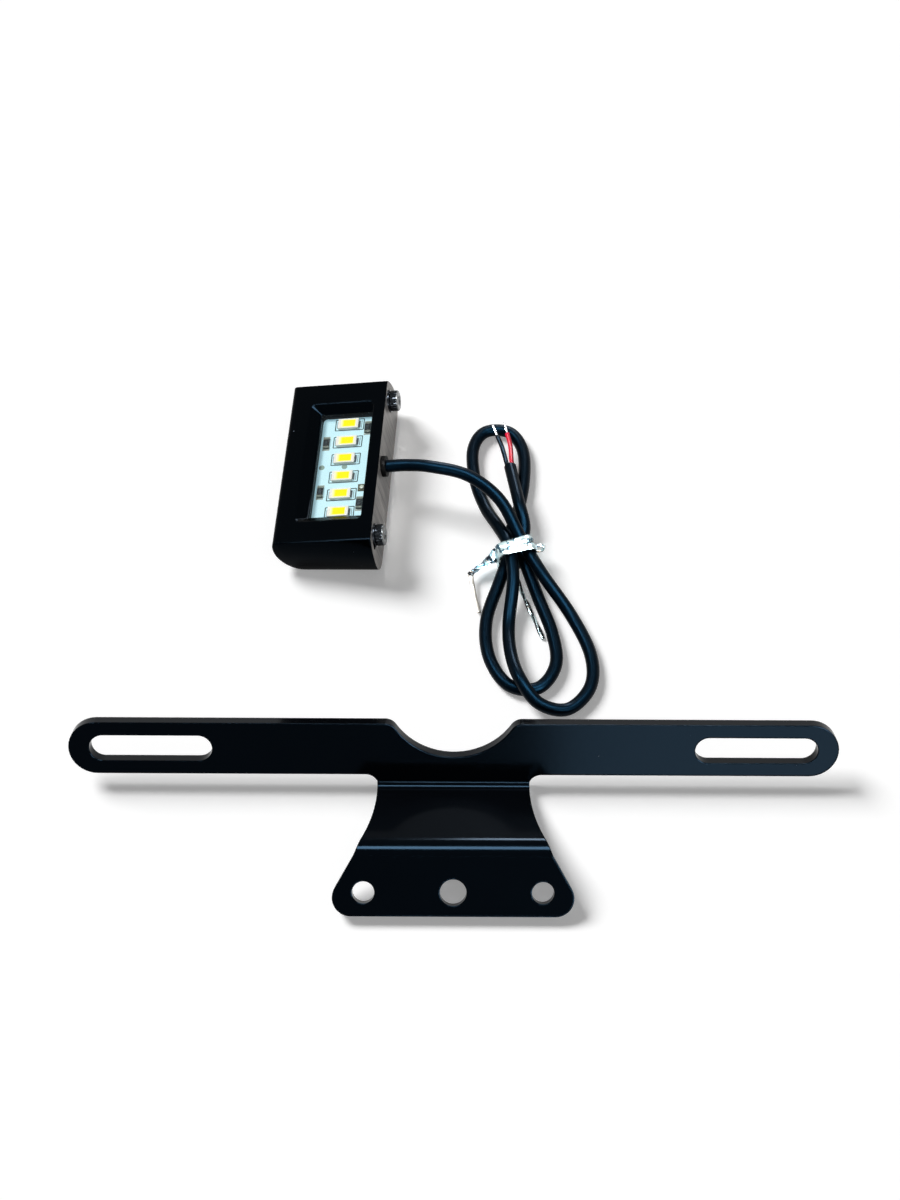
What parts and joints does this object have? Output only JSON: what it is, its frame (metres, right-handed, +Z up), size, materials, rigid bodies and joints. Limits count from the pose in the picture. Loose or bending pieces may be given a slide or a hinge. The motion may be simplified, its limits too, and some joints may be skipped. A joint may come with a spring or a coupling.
{
  "type": "tail tidy set: number-plate bracket and plate lamp",
  "caption": "Folded black steel number-plate bracket with a slotted, notched bar and a drilled flange, laid out with a small bar-shaped plate lamp and its bundled cable.",
  "frame": {"origin": "on the table, under the middle of the box round the bracket and the lamp without its cable", "axes": "+X along the bracket's bar to the right, +Y from the bracket towards the lamp, +Z up from the table"},
  "size_m": [0.178, 0.1455, 0.0157],
  "materials": {
    "bracket_paint": "gloss black powder coat",
    "lamp_paint": "gloss black, with the mounting face bare and brushed",
    "clear_lens": "clear, glossy",
    "white_board": "white solder mask, pale blue in the shade",
    "led_body": "off-white",
    "led_phosphor": "bright yellow",
    "resistor_body": "black with silvery ends",
    "solder": "dull olive with a pale spot",
    "black_rubber": "matt black",
    "dark_steel": "black oxide, bright where the light catches it",
    "cable_jacket": "satin black",
    "red_insulation": "red",
    "black_insulation": "black",
    "tinned_copper": "bright tinned strands",
    "tie_film": "clear film over a silvery core"
  },
  "bodies": {
    "root": {"plate_bracket": "bracket_paint", "lamp_housing": "lamp_paint", "lamp_lens": "clear_lens", "circuit_board": "white_board", "led_1": "led_body", "led_2": "led_body", "led_3": "led_body", "led_4": "led_body", "led_5": "led_body", "led_6": "led_body", "phosphor_1": "led_phosphor", "phosphor_2": "led_phosphor", "phosphor_3": "led_phosphor", "phosphor_4": "led_phosphor", "phosphor_5": "led_phosphor", "phosphor_6": "led_phosphor", "resistor_1": "resistor_body", "resistor_2": "resistor_body", "resistor_3": "resistor_body", "resistor_4": "resistor_body", "solder_pad": "solder", "cable_grommet": "black_rubber", "mounting_screw_upper": "dark_steel", "mounting_screw_lower": "dark_steel", "washer_upper": "dark_steel", "washer_lower": "dark_steel", "lamp_cable": "cable_jacket", "red_wire": "red_insulation", "black_wire": "black_insulation", "red_wire_tip": "tinned_copper", "black_wire_tip": "tinned_copper", "twist_tie": "tie_film"}
  },
  "joints": []
}
